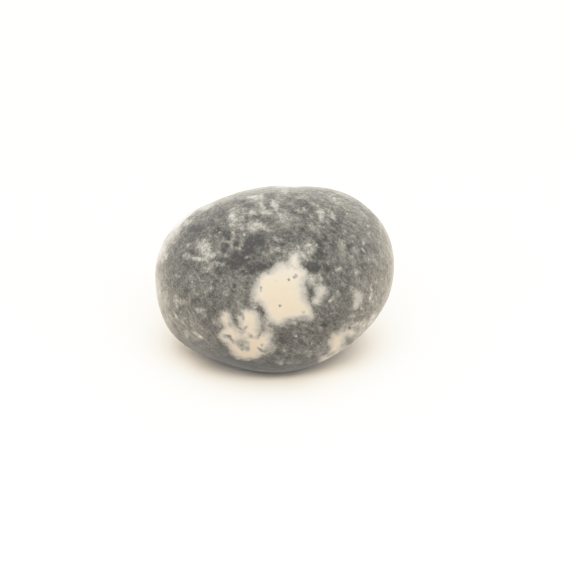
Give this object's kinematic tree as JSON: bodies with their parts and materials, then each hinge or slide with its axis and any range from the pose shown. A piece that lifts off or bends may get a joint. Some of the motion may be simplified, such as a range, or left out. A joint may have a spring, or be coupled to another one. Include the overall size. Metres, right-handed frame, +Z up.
{
  "type": "tumbled bluestone pebble",
  "caption": "Rounded, smoothly tumbled pebble of grey spotted dolerite (bluestone) with cream feldspar patches, resting on a small worn foot.",
  "frame": {"origin": "middle of the footprint at the level of the worn foot, which is the lowest point", "axes": "+X along the stone's length towards its fuller, higher end; +Z up from the foot, across the least thickness; -Y is the front"},
  "size_m": [0.036, 0.0306, 0.027],
  "materials": {
    "stone": "tumbled smooth, satin: grey-green mottled dolerite with cream feldspar spots"
  },
  "bodies": {
    "root": {"stone": "stone"}
  },
  "joints": []
}
